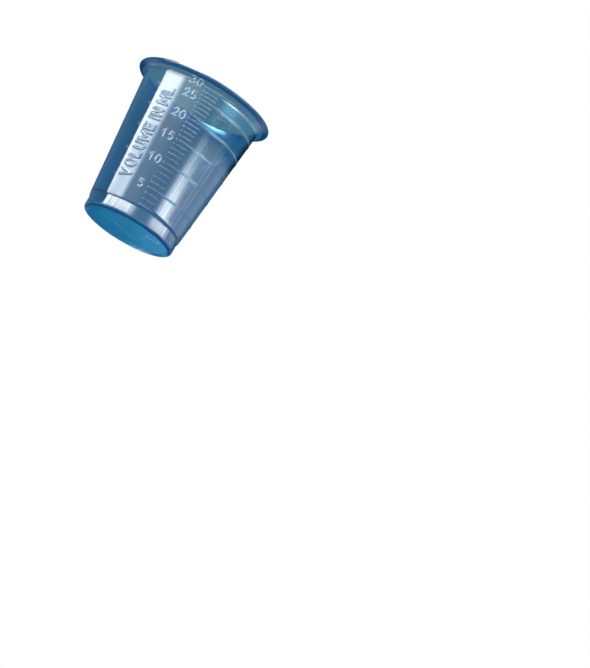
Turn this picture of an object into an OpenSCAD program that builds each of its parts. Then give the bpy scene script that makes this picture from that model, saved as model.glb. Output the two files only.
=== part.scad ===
// Graduated medicine cup: one thin moulding in clear tinted plastic.
// Millimetres, +Z up. The origin is the middle of the foot's underside, and the scale faces -Y.
// Angles round the cup run from the front, positive towards +X.

/* [Foot] */
// Diameter of the foot where it stands
foot_d = 27.2; // [26:0.1:32]
// Height of the foot band, up to the shoulder under the wall
foot_h = 3.9; // [3:0.1:6]
// How far the foot band leans in towards its top, in degrees
foot_draft = 1.4; // [0:0.1:3]
// Rounding of the foot's outer edge
foot_edge_r = 0.88; // [0.4:0.02:1]
// Width of the ring that the foot stands on, with its rounded edge
foot_ring_w = 1.35; // [1.2:0.05:2]
// Depth of the hollow under the floor
recess_h = 0.3; // [0.25:0.05:0.6]
// Rounding of the hollow's rim
recess_edge_r = 0.1; // [0.05:0.05:0.1]
// Step out from the foot band to the wall
shoulder_w = 0.38; // [0.2:0.02:0.5]
// Rounding of the shoulder's corner
shoulder_r = 0.12; // [0.05:0.01:0.15]

/* [Wall] */
// Slope of the wall away from upright, in degrees
wall_draft = 5.6; // [3:0.1:8]
// Thickness of the wall, square to its face
wall_t = 0.7; // [0.6:0.05:1]
// Thickness of the floor
floor_t = 0.5; // [0.4:0.05:1.2]
// Rounding inside, where the wall meets the floor
floor_r = 0.8; // [0.3:0.1:1.5]
// Height of the ledge inside over the shoulder outside
ledge_rise = 0.35; // [0.2:0.05:0.8]

/* [Lip] */
// Height of the lip over the highest mark
lip_over_mark = 2.6; // [2.4:0.1:6]
// Thickness of the lip's rounded edge
lip_t = 0.88; // [0.7:0.02:1]
// Hollow rounding under the lip
lip_under_r = 2.2; // [1.4:0.1:2.2]
// Flat land between that rounding and the lip's edge
lip_land = 0.07; // [0.02:0.01:1]

/* [Scale] */
// Volume from one mark to the next, in millilitres
mark_ml = 1; // [1:1:5]
// Volume at the highest mark, in millilitres, which sets the cup's height
top_ml = 28; // [15:1:40]
// Volume from one ring line to the next, in millilitres
ring_ml = 5; // [5:1:10]
// Height that the marks stand out of the wall
mark_h = 0.13; // [0.05:0.01:0.14]
// Width of the bars and ring lines at the wall
bar_w = 0.46; // [0.3:0.02:0.6]
// Angle at which the bars start
bar_from = 1.6; // [1:0.1:3]
// Angle at which the bars end
bar_to = 13.8; // [8:0.1:20]
// Angle at which the ring lines end, round the far side
ring_to = 174; // [60:1:180]
// Diameter of the dots at the wall
dot_d = 0.5; // [0.3:0.02:0.6]
// Angle of the dots beside the bars
dot_at = 0.2; // [-1:0.1:0.2]
// Angle of the second row of dots, at the ring lines' heights
far_dot_at = -45.4; // [-60:0.1:-40]

/* [Gate mark] */
// Diameter of the round gate mark under the floor
gate_d = 4.8; // [3:0.1:6]
// Width of its raised ring
gate_w = 1.1; // [0.3:0.05:1.2]
// How far it stands down from the hollow
gate_h = 0.12; // [0.05:0.01:0.2]
// Its distance from the inside of the foot ring
gate_gap = 0.8; // [0.3:0.1:4]
// Its angle round the cup
gate_at = 56; // [-180:1:180]

/* [Hidden] */
// Segments of a full circle, and of a quarter of each rounding in the section
$fn = 96;
arc_steps = 8;
// Slopes of the wall and of the foot band, as radius gained for each millimetre up
wall_slope = tan(wall_draft);
foot_slope = -tan(foot_draft);
// Thickness of the wall measured level, across the slope
wall_level_t = wall_t / cos(wall_draft);
// Radii of the foot band and of the wall's outside, at a height
function foot_r_at(z) = foot_d / 2 + foot_slope * z;
function wall_r_at(z) = foot_r_at(foot_h) + shoulder_w + wall_slope * (z - foot_h);
// Heights of the floor's top and of the ledge inside
floor_z = recess_h + floor_t;
ledge_low_z = foot_h + ledge_rise;
ledge_top_z = ledge_low_z + shoulder_w;
// Radii inside: the foot band's inside and the wall's inside
function foot_bore_at(z) = foot_r_at(z) - wall_t;
function bore_at(z) = wall_r_at(z) - wall_level_t;
// Volume of a round well that widens from one radius to another over a height
function well_volume(low_r, top_r, h) = PI * h * (low_r * low_r + low_r * top_r + top_r * top_r) / 3;
// What the rounding between floor and wall takes away from the well
corner_volume = (1 - PI / 4) * floor_r * floor_r * 2 * PI * (foot_bore_at(floor_z) - floor_r / 4);
// Volume held up to the top of the ledge
foot_volume = well_volume(foot_bore_at(floor_z), foot_bore_at(ledge_low_z), ledge_low_z - floor_z)
    + well_volume(foot_bore_at(ledge_low_z), bore_at(ledge_top_z), ledge_top_z - ledge_low_z)
    - corner_volume;
// Height of the liquid's surface at a volume in millilitres
ledge_r = bore_at(ledge_top_z);
function level_z(ml) = ledge_top_z
    + (pow(pow(ledge_r, 3) + 3 * wall_slope * (ml * 1000 - foot_volume) / PI, 1 / 3) - ledge_r) / wall_slope;

// Height over the lip
cup_h = level_z(top_ml) + lip_over_mark;
// Middle of the hollow rounding under the lip, which meets the wall's outside without a corner
under_z = cup_h - lip_t - lip_under_r;
under_r = wall_r_at(under_z) + lip_under_r / cos(wall_draft);
// Middle of the lip's round edge
lip_edge_r = under_r + lip_land;
lip_edge_z = cup_h - lip_t / 2;
// Radius and middle of the rounding over the lip, which runs from the bore to the lip's edge
over_reach = lip_edge_r - bore_at(cup_h);
over_r = over_reach * cos(wall_draft) / (1 - sin(wall_draft));
over_z = cup_h - over_r;

// Points of an arc from one angle to another
function arc(r, z, size, from, to) =
    [for (i = [0:arc_steps]) let (a = from + (to - from) * i / arc_steps)
        [r + size * cos(a), z + size * sin(a)]];

// Lowest height at which a mark is clear of the shoulder
lowest_mark_z = foot_h + shoulder_r + bar_w / 2;

// Outline of the outside, from the foot up to the lip's edge
outside = concat(
    arc(foot_r_at(0) - foot_ring_w + recess_edge_r, recess_edge_r, recess_edge_r, 180, 270),
    arc(foot_r_at(foot_edge_r) - foot_edge_r, foot_edge_r, foot_edge_r, -90, 0),
    [[foot_r_at(foot_h), foot_h]],
    arc(wall_r_at(foot_h) - shoulder_r, foot_h + shoulder_r, shoulder_r, -90, 0),
    arc(under_r, under_z, lip_under_r, 180 - wall_draft, 90),
    arc(lip_edge_r, lip_edge_z, lip_t / 2, -90, 90)
);

// Outline of the inside, from the lip's edge down to the floor
inside = concat(
    arc(lip_edge_r, over_z, over_r, 90, 180 - wall_draft),
    [[ledge_r, ledge_top_z], [foot_bore_at(ledge_low_z), ledge_low_z]],
    arc(foot_bore_at(floor_z) - floor_r, floor_z + floor_r, floor_r, 0, -90)
);

// The plain moulding: the section turned about the cup's axis, starting on the side without ring lines
module shell() {
    hollow = [[0, recess_h], [foot_r_at(0) - foot_ring_w, recess_h]];
    rotate([0, 0, 180])
        rotate_extrude()
            polygon(concat(hollow, outside, inside, [[0, floor_z]]));
}

// A raised line on the wall at a height, between two angles, with sloping flanks
module raised_line(z, from, to) {
    root = wall_t / 2;
    top_w = bar_w - 2 * mark_h;
    rotate([0, 0, from - 90])
        rotate_extrude(angle = to - from)
            polygon([
                [wall_r_at(z) - root, z - bar_w / 2],
                [wall_r_at(z - bar_w / 2), z - bar_w / 2],
                [wall_r_at(z) + mark_h, z - top_w / 2],
                [wall_r_at(z) + mark_h, z + top_w / 2],
                [wall_r_at(z + bar_w / 2), z + bar_w / 2],
                [wall_r_at(z) - root, z + bar_w / 2]
            ]);
}

// A round dot on the wall at a height and an angle
module dot(z, at) {
    // The dot is a cap of a ball that has its middle inside the wall
    ball_r = (mark_h * mark_h + dot_d * dot_d / 4) / (2 * mark_h);
    rotate([0, 0, at])
        translate([0, -(wall_r_at(z) + mark_h - ball_r), z])
            sphere(r = ball_r, $fn = 24);
}

// The scale: a dot and a bar at each mark, and a ring line with a second dot at each main mark
module scale_marks() {
    for (ml = [mark_ml:mark_ml:top_ml])
        if (ml % ring_ml != 0 && level_z(ml) > lowest_mark_z) {
            raised_line(level_z(ml), bar_from, bar_to);
            dot(level_z(ml), dot_at);
        }
    for (ml = [ring_ml:ring_ml:top_ml])
        if (level_z(ml) > lowest_mark_z) {
            raised_line(level_z(ml), bar_from, ring_to);
            dot(level_z(ml), dot_at);
            dot(level_z(ml), far_dot_at);
        }
}

// The gate mark: a low raised ring under the floor
module gate_mark() {
    rotate([0, 0, gate_at - 90])
        translate([foot_d / 2 - foot_ring_w - gate_gap - gate_d / 2, 0, recess_h - gate_h])
            difference() {
                cylinder(d = gate_d, h = gate_h + floor_t / 2);
                translate([0, 0, -gate_h])
                    cylinder(d = gate_d - 2 * gate_w, h = 2 * gate_h);
            }
}

module cup() {
    color([0.2, 0.5, 0.75, 0.6])
        union() {
            shell();
            scale_marks();
            gate_mark();
        }
}

cup();
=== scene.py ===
"""The looks of a graduated medicine cup: one thin moulding in clear blue plastic with a raised scale."""

import math
from collections import namedtuple

import bpy
import numpy as np
from mathutils import Matrix

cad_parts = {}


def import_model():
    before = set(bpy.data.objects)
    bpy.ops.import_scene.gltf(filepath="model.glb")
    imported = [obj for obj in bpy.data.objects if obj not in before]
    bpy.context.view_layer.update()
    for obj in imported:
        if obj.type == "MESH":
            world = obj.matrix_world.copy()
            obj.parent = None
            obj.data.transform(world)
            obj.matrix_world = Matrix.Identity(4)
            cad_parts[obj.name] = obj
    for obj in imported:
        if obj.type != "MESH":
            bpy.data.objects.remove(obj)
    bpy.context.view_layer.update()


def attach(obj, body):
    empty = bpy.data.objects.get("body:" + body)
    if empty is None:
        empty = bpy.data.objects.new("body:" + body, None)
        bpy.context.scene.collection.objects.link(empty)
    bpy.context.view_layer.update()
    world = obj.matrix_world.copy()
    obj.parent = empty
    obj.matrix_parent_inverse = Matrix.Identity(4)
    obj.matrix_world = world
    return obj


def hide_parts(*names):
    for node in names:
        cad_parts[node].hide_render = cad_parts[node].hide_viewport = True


MM = 0.001
MM3_PER_ML = 1000

# The moulding, in millimetres and degrees, with the sizes of the solid model
FOOT_D = 27.2
FOOT_H = 3.9
FOOT_DRAFT = 1.4
FOOT_EDGE_R = 0.88
FOOT_RING_W = 1.35
RECESS_H = 0.3
RECESS_EDGE_R = 0.1
SHOULDER_W = 0.38
SHOULDER_R = 0.12
WALL_DRAFT = 5.6
WALL_T = 0.7
FLOOR_T = 0.5
FLOOR_R = 0.8
LEDGE_RISE = 0.35
LIP_OVER_MARK = 2.6
LIP_T = 0.88
LIP_UNDER_R = 2.2
LIP_LAND = 0.07

# The scale, in millilitres, millimetres and degrees round from the front, positive towards +X.
# The lines are lower and start a little later than in the solid model, as the photograph shows them.
TOP_ML = 28
RING_ML = 5
MARK_H = 0.13
BAR_H = 0.1
BAR_W = 0.46
BAR_FLANK = 0.15
BAR_FROM = 2.5
BAR_TO = 13.8
RING_TO = 174.0
DOT_D = 0.5
DOT_AT = 0.2
FAR_DOT_AT = -45.4

# The gate mark under the floor
GATE_D = 4.8
GATE_W = 1.1
GATE_H = 0.12
GATE_GAP = 0.8
GATE_AT = 56.0
GATE_FLANK = 0.25

# The raised numbers: height and width of a digit's centre line, space between two digits, and the pen,
# with its width at the wall, the width of its sloping flank and its height
DIGIT_H = 2.17
DIGIT_W = 1.32
DIGIT_GAP = 0.78
PEN_W = 0.58
PEN_FLANK = 0.24
NUMBER_H = 0.15
NUMBERS_AT = -9.8
TOP_NUMBER_ML = 30
TOP_NUMBER_V = 41.6

# The legend runs up the wall, left of the numbers
LEGEND = "VOLUME IN ML"
LEGEND_FROM_V = 10.1
LEGEND_CAP_H = 3.12
LEGEND_GAP = 1.08
LEGEND_SPACE = 1.85
LEGEND_BASE_AT = -25.1
LEGEND_PEN_W = 0.82
LEGEND_FLANK = 0.24
LEGEND_H = 0.2

# How matt the lines, dots and gate mark are, where the digits are 1
MARK_FROST = 0.4
DOT_FROST = 1.0
GATE_FROST = 1.0

# The mesh: the wall's rows in millimetres. Plain sectors keep one row in so many on the straight wall, and
# one in so many in the flare.
ROW_STEP = 0.1
COARSE_EVERY = 14
FLARE_EVERY = 2
RING_MARGIN = 0.25
# Columns in degrees: plain, fine at letters, digits, dots and line ends, and closer by the gate mark
COLUMN_STEP = 2.5
FINE_STEP = 0.37
FINE_SECTOR = (-50.0, 17.5)
FINE_BANDS = [(-46.7, -44.1), (-39.4, -23.4), (-17.6, -2.2), (-1.3, 3.5), (12.9, 14.5)]
RING_END_BAND = (172.7, 175.1)
BAND_MARGIN = 0.5
GATE_COLUMN_STEP = 1.4
GATE_SECTOR = 17.5
LEAST_COLUMN = 0.2
# Rows on the straight stretches of the section, as heights or radii in millimetres
FOOT_ROWS_Z = (1.6, 2.4, 3.2)
INSIDE_TOP_Z = 37.0
INSIDE_LOW_Z = 8.0
INSIDE_ROWS = 9
FOOT_BORE_ROW_Z = 3.0
FLOOR_ROWS_R = (9.5, 7.0, 4.5, 2.0)
UNDERSIDE_FIRST_R = 1.0
UNDERSIDE_ROWS = 7
GATE_ROW_STEP = 0.2
GATE_ROW_MARGIN = 0.4
# Corners of the section that turn by more than this, in degrees, get two more points close by
SHARP_TURN = 20.0
CORNER_EASE = 0.04
# How far round a mark's or glyph's box it can raise the wall, and a height that is nowhere on the wall
MARK_REACH = 0.6
GLYPH_REACH = 1.0
OFF_WALL_V = -9.0

SLOPE = math.tan(math.radians(WALL_DRAFT))
COS_DRAFT = math.cos(math.radians(WALL_DRAFT))
SIN_DRAFT = math.sin(math.radians(WALL_DRAFT))


def foot_r_at(z):
    """Radius of the foot's outside at a height."""
    return FOOT_D / 2 - math.tan(math.radians(FOOT_DRAFT)) * z


def wall_r_at(z):
    """Radius of the wall's outside at a height."""
    return foot_r_at(FOOT_H) + SHOULDER_W + SLOPE * (z - FOOT_H)


def foot_bore_at(z):
    """Radius of the inside within the foot at a height."""
    return foot_r_at(z) - WALL_T


def bore_at(z):
    """Radius of the inside above the ledge at a height."""
    return wall_r_at(z) - WALL_T / COS_DRAFT


FLOOR_Z = RECESS_H + FLOOR_T
LEDGE_LOW_Z = FOOT_H + LEDGE_RISE
LEDGE_TOP_Z = LEDGE_LOW_Z + SHOULDER_W
LEDGE_R = bore_at(LEDGE_TOP_Z)


def well_volume(low_r, top_r, h):
    """Volume of a tapered well."""
    return math.pi * h * (low_r * low_r + low_r * top_r + top_r * top_r) / 3


def foot_volume():
    """Volume of the inside up to the ledge's top, less what the rounding by the floor takes."""
    corner = (1 - math.pi / 4) * FLOOR_R ** 2 * 2 * math.pi * (foot_bore_at(FLOOR_Z) - FLOOR_R / 4)
    low = well_volume(foot_bore_at(FLOOR_Z), foot_bore_at(LEDGE_LOW_Z), LEDGE_LOW_Z - FLOOR_Z)
    ledge = well_volume(foot_bore_at(LEDGE_LOW_Z), LEDGE_R, LEDGE_TOP_Z - LEDGE_LOW_Z)
    return low + ledge - corner


def level_z(ml):
    """Height of the liquid's surface at a volume in millilitres."""
    over_ledge = LEDGE_R ** 3 + 3 * SLOPE * (ml * MM3_PER_ML - foot_volume()) / math.pi
    return LEDGE_TOP_Z + (over_ledge ** (1 / 3) - LEDGE_R) / SLOPE


CUP_H = level_z(TOP_ML) + LIP_OVER_MARK
UNDER_Z = CUP_H - LIP_T - LIP_UNDER_R
UNDER_R = wall_r_at(UNDER_Z) + LIP_UNDER_R / COS_DRAFT
LIP_EDGE_R = UNDER_R + LIP_LAND
WALL_LOW_V = FOOT_H + SHOULDER_R
WALL_TOP_V = UNDER_Z + LIP_UNDER_R * SIN_DRAFT
FLARE_TOP_V = WALL_TOP_V + math.radians(90 - WALL_DRAFT) * LIP_UNDER_R * COS_DRAFT


def arc(r, z, size, start, end, steps=8):
    """Points of an arc in the section, from one angle to another."""
    angles = [math.radians(start + (end - start) * i / steps) for i in range(steps + 1)]
    return [(r + size * math.cos(a), z + size * math.sin(a)) for a in angles]


def wall_row(v):
    """Radius, height and normal of the outside at a height v, which runs on along the flare."""
    if v <= WALL_TOP_V:
        return wall_r_at(v), v, COS_DRAFT, -SIN_DRAFT
    a = math.radians(180 - WALL_DRAFT) - (v - WALL_TOP_V) / (LIP_UNDER_R * COS_DRAFT)
    across, up = math.cos(a), math.sin(a)
    return UNDER_R + LIP_UNDER_R * across, UNDER_Z + LIP_UNDER_R * up, -across, -up


def eased(points):
    """The same outline with two more points by each sharp corner, which keeps smooth shading tight."""
    out = [points[0]]
    for before, here, after in zip(points, points[1:], points[2:]):
        a = np.subtract(here, before)
        b = np.subtract(after, here)
        a_len, b_len = np.hypot(*a), np.hypot(*b)
        if np.dot(a, b) < math.cos(math.radians(SHARP_TURN)) * a_len * b_len:
            out.append(tuple(here - a / a_len * min(CORNER_EASE, a_len / 3)))
            out.append(here)
            out.append(tuple(here + b / b_len * min(CORNER_EASE, b_len / 3)))
        else:
            out.append(here)
    return out + [points[-1]]


def underside_outline():
    """From near the axis, over the recess and the foot, up to the wall."""
    recess_r = foot_r_at(0) - FOOT_RING_W
    gate_in = recess_r - GATE_GAP - GATE_D - GATE_ROW_MARGIN
    radii = list(np.linspace(UNDERSIDE_FIRST_R, gate_in, UNDERSIDE_ROWS))
    radii += list(np.arange(gate_in + GATE_ROW_STEP, recess_r - GATE_ROW_STEP / 2, GATE_ROW_STEP))
    points = [(r, RECESS_H) for r in radii] + [(recess_r, RECESS_H)]
    points += arc(recess_r + RECESS_EDGE_R, RECESS_EDGE_R, RECESS_EDGE_R, 180, 270, 4)
    points += arc(foot_r_at(FOOT_EDGE_R) - FOOT_EDGE_R, FOOT_EDGE_R, FOOT_EDGE_R, -90, 0, 10)
    points += [(foot_r_at(z), z) for z in FOOT_ROWS_Z] + [(foot_r_at(FOOT_H), FOOT_H)]
    return points + arc(wall_r_at(FOOT_H) - SHOULDER_R, FOOT_H + SHOULDER_R, SHOULDER_R, -90, 0, 5)[:-1]


def inside_outline():
    """From the lip's underside, over the lip and down the inside to near the axis."""
    reach = LIP_EDGE_R - bore_at(CUP_H)
    over_r = reach * COS_DRAFT / (1 - SIN_DRAFT)
    points = arc(LIP_EDGE_R, CUP_H - LIP_T / 2, LIP_T / 2, -90, 90, 14)
    points += arc(LIP_EDGE_R, CUP_H - over_r, over_r, 90, 180 - WALL_DRAFT, 16)[1:]
    points += [(bore_at(z), z) for z in np.linspace(INSIDE_TOP_Z, INSIDE_LOW_Z, INSIDE_ROWS)]
    points += [(LEDGE_R, LEDGE_TOP_Z), (foot_bore_at(LEDGE_LOW_Z), LEDGE_LOW_Z)]
    points.append((foot_bore_at(FOOT_BORE_ROW_Z), FOOT_BORE_ROW_Z))
    points += arc(foot_bore_at(FLOOR_Z) - FLOOR_R, FLOOR_Z + FLOOR_R, FLOOR_R, 0, -90, 8)
    return points + [(r, FLOOR_Z) for r in FLOOR_ROWS_R]


def columns():
    """Angles of the mesh's columns, fine where letters, digits, dots or line ends need it."""
    fine = FINE_BANDS + [RING_END_BAND]
    angles = list(np.arange(-180, 180, COLUMN_STEP))
    angles += list(np.arange(GATE_AT - GATE_SECTOR, GATE_AT + GATE_SECTOR, GATE_COLUMN_STEP))
    cleared = [(low - BAND_MARGIN, high + BAND_MARGIN) for low, high in fine]
    angles = [a for a in angles if not any(low < a < high for low, high in cleared)]
    for low, high in fine:
        angles += list(np.linspace(low, high, round((high - low) / FINE_STEP) + 1))
    angles = np.sort(np.array(angles))
    keep = np.append(True, np.diff(angles) > LEAST_COLUMN)
    return angles[keep]


def curve(cx, cy, rx, ry, start, end, steps=14):
    """Points of a part of an oval, in a glyph's own unit box."""
    angles = np.radians(np.linspace(start, end, steps + 1))
    return [(cx + rx * math.cos(a), cy + ry * math.sin(a)) for a in angles]


def glyph_strokes(name):
    """Centre lines of a glyph in a box one wide and one high."""
    return {
        "0": [curve(0.5, 0.5, 0.5, 0.5, 0, 360, 24)],
        "1": [[(0.1, 0.72), (0.62, 1.0), (0.62, 0.0)]],
        "2": [curve(0.5, 0.7, 0.46, 0.3, 160, -25, 12) + [(0.02, 0.0), (1.0, 0.0)]],
        "3": [curve(0.46, 0.75, 0.44, 0.25, 155, -85, 12), curve(0.44, 0.27, 0.54, 0.27, 85, -155, 14)],
        "5": [[(0.92, 1.0), (0.17, 1.0), (0.08, 0.52)], curve(0.46, 0.33, 0.5, 0.33, 140, -118, 14)],
        "V": [[(0.0, 1.0), (0.5, 0.0), (1.0, 1.0)]],
        "O": [curve(0.5, 0.5, 0.5, 0.5, 0, 360, 24)],
        "L": [[(0.0, 1.0), (0.0, 0.0), (1.0, 0.0)]],
        "U": [[(0.0, 1.0), (0.0, 0.3)] + curve(0.5, 0.3, 0.5, 0.3, 180, 360, 12) + [(1.0, 1.0)]],
        "M": [[(0.0, 0.0), (0.0, 1.0), (0.5, 0.25), (1.0, 1.0), (1.0, 0.0)]],
        "E": [[(1.0, 1.0), (0.0, 1.0), (0.0, 0.0), (1.0, 0.0)], [(0.0, 0.52), (0.85, 0.52)]],
        "I": [[(0.0, 0.0), (0.0, 1.0)]],
        "N": [[(0.0, 0.0), (0.0, 1.0), (1.0, 0.0), (1.0, 1.0)]],
    }[name]


# Widths of the letters' centre lines, in millimetres
LETTER_W = {"V": 1.85, "O": 1.8, "L": 1.35, "U": 1.65, "M": 2.1, "E": 1.5, "I": 0.0, "N": 1.65}


def distance_to(line, x, y):
    """Distance from points to a polyline."""
    best = np.full(x.shape, np.inf)
    for (x0, y0), (x1, y1) in zip(line, line[1:]):
        dx, dy = x1 - x0, y1 - y0
        t = np.clip(((x - x0) * dx + (y - y0) * dy) / (dx * dx + dy * dy), 0, 1)
        best = np.minimum(best, np.hypot(x - x0 - t * dx, y - y0 - t * dy))
    return best


def raised(distance, width, flank, top=MARK_H):
    """Height of a raised line with rounded flanks, at a distance from its centre line."""
    t = np.clip((width / 2 - distance) / flank, 0, 1)
    return top * t * t * (3 - 2 * t)


def add_glyph(height, x, y, name, box, pen):
    """Raises one glyph, whose centre lines fill a box, with a pen of one width, flank and height."""
    left, low, width, tall = box
    near = (x > left - GLYPH_REACH) & (x < left + width + GLYPH_REACH)
    near &= (y > low - GLYPH_REACH) & (y < low + tall + GLYPH_REACH)
    for stroke in glyph_strokes(name):
        line = [(left + px * width, low + py * tall) for px, py in stroke]
        height[near] = np.maximum(height[near], raised(distance_to(line, x[near], y[near]), *pen))


def add_numbers(height, angle, v, r):
    """The plain numbers, one beside each main mark and one in the flare."""
    for ml in range(RING_ML, TOP_NUMBER_ML + 1, RING_ML):
        middle_v = TOP_NUMBER_V if ml == TOP_NUMBER_ML else level_z(ml)
        digits = str(ml)
        width = len(digits) * DIGIT_W + (len(digits) - 1) * DIGIT_GAP
        x = np.radians(angle - NUMBERS_AT) * r
        for i, digit in enumerate(digits):
            box = (i * (DIGIT_W + DIGIT_GAP) - width / 2, -DIGIT_H / 2, DIGIT_W, DIGIT_H)
            add_glyph(height, x, v - middle_v, digit, box, (PEN_W, PEN_FLANK, NUMBER_H))


def add_legend(height, angle, v, r):
    """The legend, turned a quarter so that it reads upwards."""
    along = v - LEGEND_FROM_V
    up = -np.radians(angle - LEGEND_BASE_AT) * r
    left = 0.0
    for letter in LEGEND:
        if letter == " ":
            left += LEGEND_SPACE - LEGEND_GAP
            continue
        box = (left, 0.0, LETTER_W[letter], LEGEND_CAP_H)
        add_glyph(height, along, up, letter, box, (LEGEND_PEN_W, LEGEND_FLANK, LEGEND_H))
        left += LETTER_W[letter] + LEGEND_GAP


def add_marks(height, dots, angle, v, r):
    """Bars and ring lines, and dots apart from them."""
    for ml in range(1, TOP_ML + 1):
        z = level_z(ml)
        if z <= FOOT_H + SHOULDER_R + BAR_W / 2:
            continue
        main = ml % RING_ML == 0
        near = np.abs(v - z) < MARK_REACH
        a, up, reach = angle[near], v[near] - z, r[near]
        end = RING_TO if main else BAR_TO
        beyond = np.maximum(np.radians(BAR_FROM - a), np.radians(a - end)) * reach + BAR_W / 2
        line = raised(np.hypot(np.maximum(beyond, 0), up), BAR_W, BAR_FLANK, BAR_H)
        height[near] = np.maximum(height[near], line)
        for at in [DOT_AT, FAR_DOT_AT] if main else [DOT_AT]:
            dot = raised(np.hypot(np.radians(a - at) * reach, up), DOT_D, DOT_D / 2)
            dots[near] = np.maximum(dots[near], dot)


def gate_height(angle, r):
    """How far the gate mark's ring stands down from the recess."""
    from_axis = FOOT_D / 2 - FOOT_RING_W - GATE_GAP - GATE_D / 2
    x = r * np.sin(np.radians(angle)) - from_axis * math.sin(math.radians(GATE_AT))
    y = -r * np.cos(np.radians(angle)) + from_axis * math.cos(math.radians(GATE_AT))
    off = np.abs(np.hypot(x, y) - (GATE_D - GATE_W) / 2)
    return raised(off, GATE_W, GATE_FLANK, GATE_H)


def under_floor(section):
    """One in the hollow under the floor, nought elsewhere."""
    return (section[:, 1] == RECESS_H) * 1.0


def strip(index, i, j, rows, coarse, fine_i, fine_j):
    """Faces between two neighbouring columns, which may have different rows."""
    if fine_i == fine_j:
        used = rows if fine_i else coarse
        return [(index[i, a], index[j, a], index[j, b], index[i, b]) for a, b in zip(used, used[1:])]
    faces = []
    for a, b in zip(coarse, coarse[1:]):
        if b == a + 1:
            faces.append((index[i, a], index[j, a], index[j, b], index[i, b]))
            continue
        middle = (a + b) // 2
        for k in range(a, b):
            corner = a if k < middle else b
            if fine_i:
                faces.append((index[i, k], index[j, corner], index[i, k + 1]))
            else:
                faces.append((index[i, corner], index[j, k], index[j, k + 1]))
        if fine_i:
            faces.append((index[i, middle], index[j, a], index[j, b]))
        else:
            faces.append((index[i, a], index[j, middle], index[i, b]))
    return faces


def turned_section():
    """The section's rows (radius, height, normal), their places up the wall, and which may be left out."""
    under = [(r, z, 0.0, 0.0) for r, z in eased(underside_outline())]
    wall_v = np.linspace(WALL_LOW_V, FLARE_TOP_V, round((FLARE_TOP_V - WALL_LOW_V) / ROW_STEP) + 1)
    wall = [wall_row(v) for v in wall_v]
    over = [(r, z, 0.0, 0.0) for r, z in eased(inside_outline())[1:]]
    section = np.array(under + wall + over)
    v = np.concatenate([np.full(len(under), OFF_WALL_V), wall_v, np.full(len(over), OFF_WALL_V)])

    in_wall = np.arange(len(section)) - len(under)
    skipped = (in_wall > 0) & (in_wall < len(wall) - 1) & (in_wall % COARSE_EVERY != 0) & (v < WALL_TOP_V)
    skipped |= (v >= WALL_TOP_V) & (in_wall % FLARE_EVERY != 0) & (in_wall < len(wall) - 1)
    for ml in range(RING_ML, TOP_ML + 1, RING_ML):
        skipped &= np.abs(v - level_z(ml)) > BAR_W / 2 + RING_MARGIN
    return section, v, skipped


def raised_features(section, angle, v, r):
    """How far each point stands out of the wall and down from the hollow, and how matt it is."""
    lines = np.zeros(angle.shape)
    dots = np.zeros(angle.shape)
    numbers = np.zeros(angle.shape)
    add_marks(lines, dots, angle, v, r)
    add_numbers(numbers, angle, v, r)
    height = np.maximum(np.maximum(lines, dots), numbers)
    add_legend(height, angle, v, r)
    gate = under_floor(section) * gate_height(angle, r)
    frost = np.maximum(MARK_FROST * lines / MARK_H, (numbers / NUMBER_H) ** 2) + GATE_FROST * gate / GATE_H
    frost = np.maximum(frost, DOT_FROST * dots / MARK_H)
    return height, gate, frost


def cup_mesh():
    """The moulding as one closed mesh, turned from the section, with the raised marks in its outside."""
    section, v, skipped = turned_section()
    rows = list(range(len(section)))
    coarse = [k for k in rows if not skipped[k]]
    angles = columns()
    fine = (angles > FINE_SECTOR[0]) & (angles < FINE_SECTOR[1])
    angle, height_v = np.meshgrid(angles, v, indexing="ij")
    r = np.broadcast_to(section[:, 0], angle.shape)
    height, gate, frost = raised_features(section, angle, height_v, r)
    radius = r + section[:, 2] * height
    z = section[:, 1] + section[:, 3] * height - gate

    present = fine[:, None] | ~skipped[None, :]
    index = np.full(angle.shape, -1)
    index[present] = np.arange(present.sum())
    turn = np.radians(angle[present])
    points = np.stack([radius[present] * np.sin(turn), -radius[present] * np.cos(turn), z[present]], 1)
    low_pole, top_pole = len(points), len(points) + 1
    points = np.vstack([points, [0, 0, RECESS_H], [0, 0, FLOOR_Z]])

    faces = []
    for i in range(len(angles)):
        j = (i + 1) % len(angles)
        faces += strip(index, i, j, rows, coarse, fine[i], fine[j])
        faces.append((low_pole, index[j, 0], index[i, 0]))
        faces.append((index[i, rows[-1]], index[j, rows[-1]], top_pole))
    mesh = bpy.data.meshes.new("cup_moulding")
    mesh.from_pydata((points * MM).tolist(), [], [tuple(int(k) for k in face) for face in faces])
    mesh.polygons.foreach_set("use_smooth", [True] * len(mesh.polygons))
    shown = mesh.attributes.new("frost", "FLOAT", "POINT")
    shown.data.foreach_set("value", np.append(frost[present], [0.0, 0.0]))
    mesh.update()
    return mesh


# The plastic: colour kept for each crossing of a wall, and what each metre of plastic takes away
WALL_TINT = (0.27, 0.52, 0.73)
PLASTIC_IOR = 1.5
ABSORB_COLOR = (0.2, 0.88, 0.98)
ABSORB_DENSITY = 1000.0
SHADOW_TINT = (0.86, 0.93, 0.98)
ROUGHNESS = (0.03, 0.1)
COAT_ROUGHNESS = 0.03

# The lip and the foot's edge, painted a deep blue shade that stands in for the light thick plastic holds:
# from and to these radii, in millimetres
THICK_PAINTED_SHADE = (0.006, 0.12, 0.34)
THICK_CLEAR = 0.2
LIP_FROM_R = 17.9
LIP_TO_R = 18.9
FOOT_EDGE_FROM_R = 12.4
FOOT_EDGE_TO_R = 12.8

# Painted light on the flare where its inside faces the air: heights in millimetres, and how far a face
# looks up
FLARE_PAINTED_LIGHT = (0.01, 0.43, 0.76)
FLARE_CLEAR = 0.56
FLARE_FROM_Z = 39.2
FLARE_TO_Z = 40.0
FACING_UP_FROM = -0.02
FACING_UP_TO = 0.08
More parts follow.
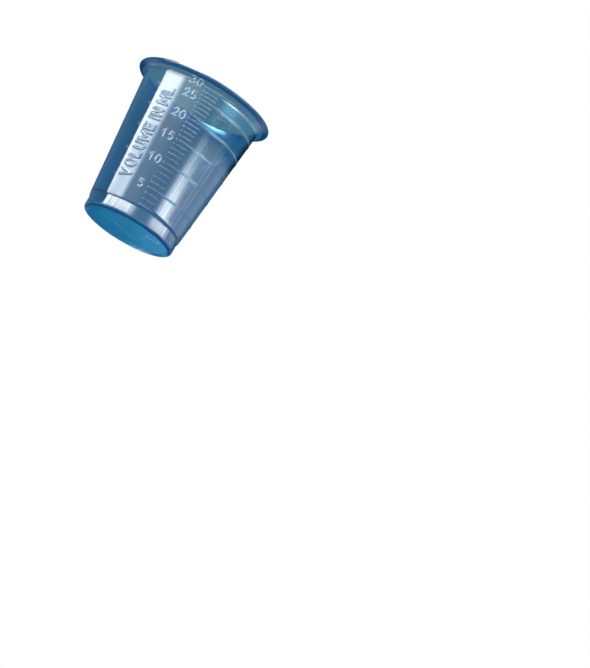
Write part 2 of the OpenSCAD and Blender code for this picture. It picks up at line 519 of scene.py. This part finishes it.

# The underside, between these heights in millimetres: its blue is partly the plastic's and partly painted
# light that comes through the floor, with slow swirls of paler painted reflections; the same swirls make it
# uneven
LOW_FROM_Z = 0.5
LOW_TO_Z = 1.0
UNDERSIDE_TINT_AND_LIGHT = (0.05, 0.74, 1.0)
UNDERSIDE_PAINTED_REFLECTION = (0.12, 0.86, 1.0)
FLOOR_CLEAR = 0.78
SWIRL_SCALE = 150.0
SWIRL_TWIST = 2.0
SWIRL_FROM = 0.35
SWIRL_TO = 0.7
SWIRL_DEPTH = 0.4
SWIRL_STRENGTH = 0.15

# The matt faces of digits, dots, lines and the gate mark
FROST_BODY = (0.66, 0.74, 0.82)
FROST_CLEAR = 0.6
FROST_ROUGH = 0.2

# Faint upright flow lines, and slow clouds in the roughness
FLOW_SCALE = 16.0
FLOW_DETAIL = 3.0
FLOW_RISE = 6.0
FLOW_DEPTH = 0.02
FLOW_STRENGTH = 0.3
CLOUD_SCALE = 260.0
CLOUD_DETAIL = 2.0
CLOUD_FROM = 0.3
CLOUD_TO = 0.75


class Nodes:
    """A short way to make and link the nodes of one material or world."""

    def __init__(self, tree):
        tree.nodes.clear()
        self.tree = tree

    def add(self, kind, inputs=(), **settings):
        """A node, with settings, whose inputs are values or other nodes' outputs."""
        node = self.tree.nodes.new(kind)
        for key, value in settings.items():
            setattr(node, key, value)
        for key, value in dict(inputs).items():
            if isinstance(value, bpy.types.NodeSocket):
                self.tree.links.new(value, node.inputs[key])
            else:
                node.inputs[key].default_value = value
        return node

    def math(self, operation, a, b=0.0, c=0.0):
        """The result of one sum."""
        return self.add("ShaderNodeMath", {0: a, 1: b, 2: c}, operation=operation).outputs[0]

    def noise(self, scale, **inputs):
        """A slow noise from nought to one."""
        return self.add("ShaderNodeTexNoise", {"Scale": scale, **inputs}).outputs[0]

    def blend(self, share, first, second):
        """A number between two numbers, each a value or another node's output."""
        return self.add("ShaderNodeMix", {0: share, 2: first, 3: second}).outputs[0]

    def mix(self, share, first, second):
        """A colour between two colours, each a triple or another node's output."""
        ends = {}
        for key, color in ((6, first), (7, second)):
            ends[key] = color if isinstance(color, bpy.types.NodeSocket) else (*color, 1.0)
        return self.add("ShaderNodeMix", {0: share, **ends}, data_type="RGBA").outputs[2]

    def ramp(self, value, low, high, out_low=0.0, out_high=1.0):
        """A smooth step from one value to another."""
        inputs = {"Value": value, "From Min": low, "From Max": high, "To Min": out_low, "To Max": out_high}
        return self.add("ShaderNodeMapRange", inputs, interpolation_type="SMOOTHSTEP").outputs[0]


def thick_places(n, from_axis, low):
    """Where deep shade is painted: one in the lip and in the foot's edge, nought elsewhere."""
    at_lip = n.ramp(from_axis, LIP_FROM_R * MM, LIP_TO_R * MM)
    at_foot_edge = n.math("MULTIPLY", low, n.ramp(from_axis, FOOT_EDGE_FROM_R * MM, FOOT_EDGE_TO_R * MM))
    return n.math("MAXIMUM", at_lip, at_foot_edge)


def flare_inside(n, z):
    """Where light is painted: one on the inside of the flare where it faces the air, nought elsewhere."""
    face = n.add("ShaderNodeNewGeometry")
    facing_up = n.add("ShaderNodeSeparateXYZ", {0: face.outputs["Normal"]}).outputs[2]
    inside = n.math("SUBTRACT", n.ramp(facing_up, FACING_UP_FROM, FACING_UP_TO), face.outputs["Backfacing"])
    inside = n.math("MAXIMUM", inside, 0.0)
    return n.math("MULTIPLY", inside, n.ramp(z, FLARE_FROM_Z * MM, FLARE_TO_Z * MM))


def uneven_normal(n, level, z, uneven):
    """A normal with faint upright flow lines, and with a slow unevenness where that is given."""
    round_the_axis = n.add("ShaderNodeVectorMath", {0: level}, operation="NORMALIZE").outputs[0]
    up = n.add("ShaderNodeCombineXYZ", {2: n.math("MULTIPLY", z, FLOW_RISE)}).outputs[0]
    flow_place = n.add("ShaderNodeVectorMath", {0: round_the_axis, 1: up}, operation="ADD").outputs[0]
    flow = {"Height": n.noise(FLOW_SCALE, Vector=flow_place, Detail=FLOW_DETAIL)}
    flow.update({"Strength": FLOW_STRENGTH, "Distance": FLOW_DEPTH * MM})
    swirl = {"Height": uneven, "Strength": SWIRL_STRENGTH, "Distance": SWIRL_DEPTH * MM}
    return n.add("ShaderNodeBump", {**swirl, "Normal": n.add("ShaderNodeBump", flow).outputs[0]}).outputs[0]


def cup_material():
    """Clear blue plastic with faint upright flow lines, painted deep shade in the lip and foot's edge,
    painted light in the flare, and painted light and reflections under the floor.
    """
    material = bpy.data.materials.new("clear_blue_plastic")
    material.use_nodes = True
    n = Nodes(material.node_tree)
    place = n.add("ShaderNodeTexCoord").outputs["Object"]
    x, y, z = n.add("ShaderNodeSeparateXYZ", {0: place}).outputs
    level = n.add("ShaderNodeCombineXYZ", {0: x, 1: y}).outputs[0]
    from_axis = n.add("ShaderNodeVectorMath", {0: level}, operation="LENGTH").outputs["Value"]
    frost = n.add("ShaderNodeAttribute", attribute_name="frost").outputs["Fac"]
    low = n.ramp(z, LOW_FROM_Z * MM, LOW_TO_Z * MM, 1.0, 0.0)
    thick = thick_places(n, from_axis, low)
    flare = flare_inside(n, z)
    # Slow swirls, painted as paler reflections under the floor and also bumping it
    swirl = n.ramp(n.noise(SWIRL_SCALE, Vector=place, Distortion=SWIRL_TWIST), SWIRL_FROM, SWIRL_TO)

    # Under the floor: the plastic's blue with painted light, and swirls of painted reflection
    tint = n.mix(low, WALL_TINT, n.mix(swirl, UNDERSIDE_TINT_AND_LIGHT, UNDERSIDE_PAINTED_REFLECTION))
    # Painted deep blue shade in the lip and the foot's edge
    tint = n.mix(thick, tint, THICK_PAINTED_SHADE)
    # Painted light on the inside of the flare, where it faces up
    tint = n.mix(flare, tint, FLARE_PAINTED_LIGHT)
    tint = n.mix(frost, tint, FROST_BODY)
    clear = n.math("SUBTRACT", 1.0, n.math("MULTIPLY", low, 1.0 - FLOOR_CLEAR))
    clear = n.math("MULTIPLY", clear, n.ramp(thick, 0.0, 1.0, 1.0, THICK_CLEAR))
    clear = n.blend(flare, clear, FLARE_CLEAR)
    clear = n.math("MULTIPLY", clear, n.ramp(frost, 0.0, 1.0, 1.0, FROST_CLEAR))
    coat = n.math("MAXIMUM", n.ramp(thick, 0.0, 1.0, 1.0, 0.0), flare)
    cloud = n.noise(CLOUD_SCALE, Vector=place, Detail=CLOUD_DETAIL)
    cloud = n.ramp(cloud, CLOUD_FROM, CLOUD_TO, *ROUGHNESS)
    plastic = n.add("ShaderNodeBsdfPrincipled", {
        "Base Color": tint,
        "Roughness": n.math("ADD", cloud, n.math("MULTIPLY", frost, FROST_ROUGH)),
        "IOR": PLASTIC_IOR,
        "Transmission Weight": clear,
        "Coat Weight": coat,
        "Coat Roughness": COAT_ROUGHNESS,
        "Normal": uneven_normal(n, level, z, n.math("MULTIPLY", low, swirl)),
    })
    see_through = n.add("ShaderNodeBsdfTransparent", {"Color": (*SHADOW_TINT, 1.0)})
    shadow = n.add("ShaderNodeLightPath").outputs["Is Shadow Ray"]
    surface = n.add("ShaderNodeMixShader", {0: shadow, 1: plastic.outputs[0], 2: see_through.outputs[0]})
    depth = n.add("ShaderNodeVolumeAbsorption", {"Color": (*ABSORB_COLOR, 1.0), "Density": ABSORB_DENSITY})
    n.add("ShaderNodeOutputMaterial", {"Surface": surface.outputs[0], "Volume": depth.outputs[0]})
    return material


# The floor, in metres: it fades into the backdrop for the camera, and sooner in the cup's gloss
FLOOR_COLOR = (0.86, 0.87, 0.88)
# A darker grey copy of the floor, painted shade, for rays in and through the plastic
FLOOR_SHADED_IN_PLASTIC = (0.5, 0.5, 0.5)
FLOOR_SIZE = 4.0
FLOOR_GAP = 0.00005
FADE_FROM = 0.10
FADE_TO = 0.55
GLOSS_FADE_FROM = 0.05
GLOSS_FADE_TO = 0.14
# In the underside's gloss the floor is half clear out to the hollow's rim
HOLLOW_FROM_R = 0.0120
HOLLOW_TO_R = 0.0123
HOLLOW_CLEAR = 0.5


def floor_material():
    """Pale on top, with painted shade where the plastic sees it, clear from below, and fading out into the
    backdrop.
    """
    material = bpy.data.materials.new("pale_floor")
    material.use_nodes = True
    n = Nodes(material.node_tree)
    place = n.add("ShaderNodeTexCoord").outputs["Object"]
    far = n.add("ShaderNodeVectorMath", {0: place}, operation="LENGTH").outputs["Value"]
    path = n.add("ShaderNodeLightPath")
    in_gloss = n.math("SUBTRACT", path.outputs["Is Glossy Ray"], path.outputs["Is Transmission Ray"])
    fade = n.math("MULTIPLY", n.ramp(far, FADE_FROM, FADE_TO), path.outputs["Is Camera Ray"])
    gloss_fade = n.math("MULTIPLY", n.ramp(far, GLOSS_FADE_FROM, GLOSS_FADE_TO), in_gloss)
    hollow = n.math("MULTIPLY", n.ramp(far, HOLLOW_FROM_R, HOLLOW_TO_R, HOLLOW_CLEAR, 0.0), in_gloss)
    fade = n.math("MAXIMUM", n.math("MAXIMUM", fade, gloss_fade), hollow)
    from_below = n.add("ShaderNodeNewGeometry").outputs["Backfacing"]
    clear = n.math("MAXIMUM", fade, from_below)
    in_plastic = n.math("MAXIMUM", path.outputs["Is Glossy Ray"], path.outputs["Is Transmission Ray"])
    pale = n.add("ShaderNodeBsdfDiffuse", {"Color": n.mix(in_plastic, FLOOR_COLOR, FLOOR_SHADED_IN_PLASTIC)})
    gone = n.add("ShaderNodeBsdfTransparent")
    surface = n.add("ShaderNodeMixShader", {0: clear, 1: pale.outputs[0], 2: gone.outputs[0]})
    n.add("ShaderNodeOutputMaterial", {"Surface": surface.outputs[0]})
    return material


def make_floor():
    """The table top under the cup, which is part of the studio."""
    half = FLOOR_SIZE / 2
    mesh = bpy.data.meshes.new("floor")
    corners = [(-half, -half, 0), (half, -half, 0), (half, half, 0), (-half, half, 0)]
    mesh.from_pydata(corners, [], [(0, 1, 2, 3)])
    floor = bpy.data.objects.new("floor", mesh)
    floor.location.z = -FLOOR_GAP
    mesh.materials.append(floor_material())
    bpy.context.scene.collection.objects.link(floor)


# A patch of the sky in degrees, with the half widths of its soft edges, and its brightness.
# Azimuth runs from the front, positive towards +X, and elevation up from level.
Patch = namedtuple("Patch", "azimuth azimuth_soft elevation elevation_soft power", defaults=(1.0,))

# The softboxes that show in the gloss of the nearest wall
FRONT_BOXES = [
    # The bright strip down the left of the scale, with a brighter upper part
    Patch((-87, -46), (1.0, 6.0), (-40, 9.5), (8.0, 1.0), 5.2),
    Patch((-87, -46), (1.0, 6.0), (7.0, 9.5), (0.8, 1.0), 3.5),
    # A soft glow between the strip and the numbers
    Patch((-60, -14), (6.0, 22.0), (-30, 11), (8.0, 2.0), 0.6),
    # The bright stretch of the foot band on the left
    Patch((-86, -12), (1.0, 16.0), (12, 26), (2.0, 4.0), 8.0),
    # The bright columns low on the right, and a faint glow by the wall's right edge
    Patch((44, 72), (16.0, 22.0), (-3, 5.6), (2.0, 0.8), 9.8),
    Patch((60, 140), (20.0, 25.0), (-20, 30), (5.0, 5.0), 0.8),
    # The bright stretch of the foot band on the right
    Patch((40, 91), (14.0, 10.0), (12, 26), (2.0, 4.0), 5.0),
    # A line of light along the foot's rounded edge
    Patch((-55, 60), (8.0, 8.0), (-34, -24), (3.0, 3.0), 7.0),
    # A faint glow by the wall's left edge
    Patch((-150, -88), (10.0, 2.0), (-40, 30), (8.0, 4.0), 0.18),
    # For the underside: two low ones behind and one below for the gate mark, and a faint one behind
    Patch((-200, -125), (1.0, 10.0), (-90, -21), (1.0, 5.0), 0.8),
    Patch((125, 200), (10.0, 1.0), (-90, -21), (1.0, 5.0), 0.8),
    Patch((-200, 200), (1.0, 1.0), (-100, -55), (1.0, 8.0), 3.0),
    Patch((-200, -176.8), (1.0, 0.8), (-40, -8), (1.0, 3.0), 0.3),
]
# The high softboxes, which show in all gloss: the last one is the streak of light in the far lip
HIGH_BOXES = [
    Patch((-82, -25), (6.0, 6.0), (34, 62), (6.0, 6.0), 6.0),
    Patch((-25, 70), (10.0, 10.0), (40, 62), (8.0, 8.0), 2.5),
    Patch((-135, -65), (8.0, 8.0), (58, 87), (5.0, 2.0), 28.0),
]
LAMP_COLOR = (1.0, 0.89, 0.81)
# Ribs in the softboxes that lie right of the front or above the strip: how many to a degree, and how
# dark and light they are
RIBS_PER_DEG = 0.16
RIBS_DETAIL = 2.0
RIBS_FROM = 0.3
RIBS_TO = 0.7
RIB_SHADE = (0.6, 1.25)
RIBBED_AZIMUTH = (10.0, 30.0)
RIBBED_ELEVATION = (9.5, 12.0)

# The room that shows through the plastic, where the backdrop is 1: paler low down, with upright strips
ACROSS = 0.45
STRIPS = 0.3
STRIP_COUNT = 8
ACROSS_ELEVATION = (4.0, 28.0)
ACROSS_SHADE = (1.4, 0.6)
# The room that shows in the nearest wall's gloss: paler in front, darker high up and blue behind
MIRROR_FRONT = 0.7
MIRROR_BACK = 0.24
FRONT_SECTOR = Patch((-62, 100), (28.0, 25.0), (-90, 90), (1.0, 1.0))
BACK_COLOR = (0.16, 0.55, 1.0)
HIGH_ELEVATION = (35.0, 60.0)
HIGH_SHADE = 0.4
# Both are dark under the table's height
UNDER_TABLE = 0.1
UNDER_TABLE_ELEVATION = (-12.0, -1.0)
# A dark flag keeps the gloss off the wall's upper right. It is bowed like the wall's levels in the gloss,
# so its edges are at these sums of a direction's rise and the bow.
FLAG_SHARE = 0.1
FLAG_BOW = 0.186
FLAG_TURN = -0.0314
FLAG_LOW = (0.2768, 0.2808)
FLAG_TOP = (0.295, 0.315)
FLAG_AZIMUTH = (-12.0, 12.0)
# The plain soft light on matt surfaces
FILL = 0.75


def window(n, azimuth, elevation, patch):
    """One inside a patch of the sky and nought outside, with soft edges."""
    az_low, az_high = patch.azimuth
    soft_low, soft_high = patch.azimuth_soft
    el_low, el_high = patch.elevation
    el_soft_low, el_soft_high = patch.elevation_soft
    left = n.ramp(azimuth, az_low - soft_low, az_low + soft_low)
    right = n.ramp(azimuth, az_high - soft_high, az_high + soft_high, 1.0, 0.0)
    low = n.ramp(elevation, el_low - el_soft_low, el_low + el_soft_low)
    top = n.ramp(elevation, el_high - el_soft_high, el_high + el_soft_high, 1.0, 0.0)
    return n.math("MULTIPLY", n.math("MULTIPLY", left, right), n.math("MULTIPLY", low, top))


def nearest_wall(n, path):
    """One for light that reaches the eye by the gloss of the nearest wall's outer or inner face.

    Its depth is the number of faces it has come through: none for the outer one, two for the inner one.
    """
    outer = n.math("LESS_THAN", path.outputs["Transmission Depth"], 0.5)
    inner = n.math("LESS_THAN", path.outputs["Transmission Depth"], 2.5)
    inner = n.math("MULTIPLY", inner, path.outputs["Is Transmission Ray"])
    return n.math("MAXIMUM", outer, inner)


def past_flag(n, turn, azimuth, rise):
    """The share of light that comes past the dark flag. The wall mirrors a direction at half its turn."""
    bow = n.math("COSINE", n.math("MULTIPLY_ADD", turn, 0.5, FLAG_TURN))
    on_wall = n.math("MULTIPLY_ADD", bow, FLAG_BOW, rise)
    flag = n.math("MULTIPLY", n.ramp(on_wall, *FLAG_LOW), n.ramp(on_wall, *FLAG_TOP, 1.0, 0.0))
    flag = n.math("MULTIPLY", flag, n.ramp(azimuth, *FLAG_AZIMUTH))
    return n.ramp(flag, 0.0, 1.0, 1.0, FLAG_SHARE)


def lamp_glow(n, azimuth, elevation, groups):
    """The light of groups of softboxes, each with the share in which its rays see it."""
    glow = 0.0
    for boxes, seen in groups:
        for box in boxes:
            lit = n.math("MULTIPLY", window(n, azimuth, elevation, box), seen)
            glow = n.math("MULTIPLY_ADD", lit, box.power, glow)
    ribs = n.add("ShaderNodeTexNoise", {
        "W": n.math("MULTIPLY", azimuth, RIBS_PER_DEG),
        "Scale": 1.0,
        "Detail": RIBS_DETAIL,
    }, noise_dimensions="1D").outputs[0]
    ribbed = n.math("MAXIMUM", n.ramp(azimuth, *RIBBED_AZIMUTH), n.ramp(elevation, *RIBBED_ELEVATION))
    ribs = n.blend(ribbed, 1.0, n.ramp(ribs, RIBS_FROM, RIBS_TO, *RIB_SHADE))
    return n.math("MULTIPLY", glow, ribs)


def room_light(n, turn, elevation, close, mirror):
    """The room's own light, through the plastic or in the nearest wall's gloss."""
    wave = n.math("SINE", n.math("MULTIPLY", turn, STRIP_COUNT))
    strips = n.math("MULTIPLY_ADD", wave, -STRIPS * ACROSS, ACROSS)
    across = n.math("MULTIPLY", strips, n.ramp(elevation, *ACROSS_ELEVATION, *ACROSS_SHADE))
    room = n.blend(close, across, mirror)
    return n.math("MULTIPLY", room, n.ramp(elevation, *UNDER_TABLE_ELEVATION, UNDER_TABLE, 1.0))


def make_world():
    """A white backdrop, a soft fill, and a room with softboxes that shows in and through the plastic."""
    world = bpy.data.worlds.new("studio")
    world.use_nodes = True
    bpy.context.scene.world = world
    n = Nodes(world.node_tree)
    direction = n.add("ShaderNodeTexCoord").outputs["Generated"]
    x, y, rise = n.add("ShaderNodeSeparateXYZ", {0: direction}).outputs
    turn = n.math("ARCTAN2", x, n.math("MULTIPLY", y, -1.0))
    azimuth = n.math("MULTIPLY", turn, math.degrees(1.0))
    elevation = n.math("MULTIPLY", n.math("ARCSINE", rise), math.degrees(1.0))
    path = n.add("ShaderNodeLightPath")
    mirrored = n.math("GREATER_THAN", path.outputs["Glossy Depth"], 0.5)
    close = n.math("MULTIPLY", mirrored, nearest_wall(n, path))
    past = past_flag(n, turn, azimuth, rise)

    front = window(n, azimuth, elevation, FRONT_SECTOR)
    mirror = n.ramp(front, 0.0, 1.0, MIRROR_BACK, MIRROR_FRONT)
    mirror = n.math("MULTIPLY", mirror, n.ramp(elevation, *HIGH_ELEVATION, 1.0, HIGH_SHADE))
    room = room_light(n, turn, elevation, close, n.math("MULTIPLY", mirror, past))
    groups = [(FRONT_BOXES, n.math("MULTIPLY", close, past)), (HIGH_BOXES, mirrored)]
    glow = lamp_glow(n, azimuth, elevation, groups)

    in_plastic = n.math("MAXIMUM", path.outputs["Is Glossy Ray"], path.outputs["Is Transmission Ray"])
    plain = n.ramp(path.outputs["Is Camera Ray"], 0.0, 1.0, FILL, 1.0)
    strength = n.blend(in_plastic, plain, n.math("ADD", room, glow))
    behind = n.math("MULTIPLY", close, n.ramp(front, 0.0, 1.0, 1.0, 0.0))
    color = n.mix(behind, (1.0, 1.0, 1.0), BACK_COLOR)
    color = n.mix(n.math("MINIMUM", glow, 1.0), color, LAMP_COLOR)
    sky = n.add("ShaderNodeBackground", {"Color": color, "Strength": strength})
    n.add("ShaderNodeOutputWorld", {"Surface": sky.outputs[0]})


# The one lamp: place and size in metres, and power in watts
KEY_AT = (-0.45, -0.5, 0.9)
KEY_SIZE = 0.5
KEY_POWER = 3.0


def make_key():
    """One large soft lamp, high at the front left, for the floor's soft shadow."""
    light = bpy.data.lights.new("key", "AREA")
    light.shape = "DISK"
    light.size = KEY_SIZE
    light.energy = KEY_POWER
    key = bpy.data.objects.new("key", light)
    key.location = KEY_AT
    key.rotation_euler = (-key.location).to_track_quat("-Z", "Y").to_euler()
    key.visible_camera = False
    key.visible_glossy = False
    bpy.context.scene.collection.objects.link(key)


# The camera: place in metres, upward tilt and roll in degrees, and lens and nearest distance in millimetres
CAMERA_AT = (0.05352, -0.8553, -0.21952)
CAMERA_TILT = 14.278
CAMERA_ROLL = 29.501
CAMERA_LENS = 175.19
CAMERA_NEAR = 10.0


def make_camera():
    """The camera, aimed as the photograph was taken."""
    camera = bpy.data.objects.new("camera", bpy.data.cameras.new("camera"))
    camera.data.lens = CAMERA_LENS
    camera.data.clip_start = CAMERA_NEAR * MM
    aim = Matrix.Rotation(math.radians(90 + CAMERA_TILT), 4, "X")
    roll = Matrix.Rotation(math.radians(CAMERA_ROLL), 4, "Z")
    camera.matrix_world = Matrix.Translation(CAMERA_AT) @ aim @ roll
    bpy.context.scene.collection.objects.link(camera)
    bpy.context.scene.camera = camera


def main():
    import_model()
    scene = bpy.context.scene
    scene.view_settings.view_transform = "Standard"

    cup = bpy.data.objects.new("moulded_cup", cup_mesh())
    scene.collection.objects.link(cup)
    cup.data.materials.append(cup_material())
    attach(cup, "root")
    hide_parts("cup")

    make_floor()
    make_world()
    make_key()
    make_camera()

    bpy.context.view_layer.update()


main()
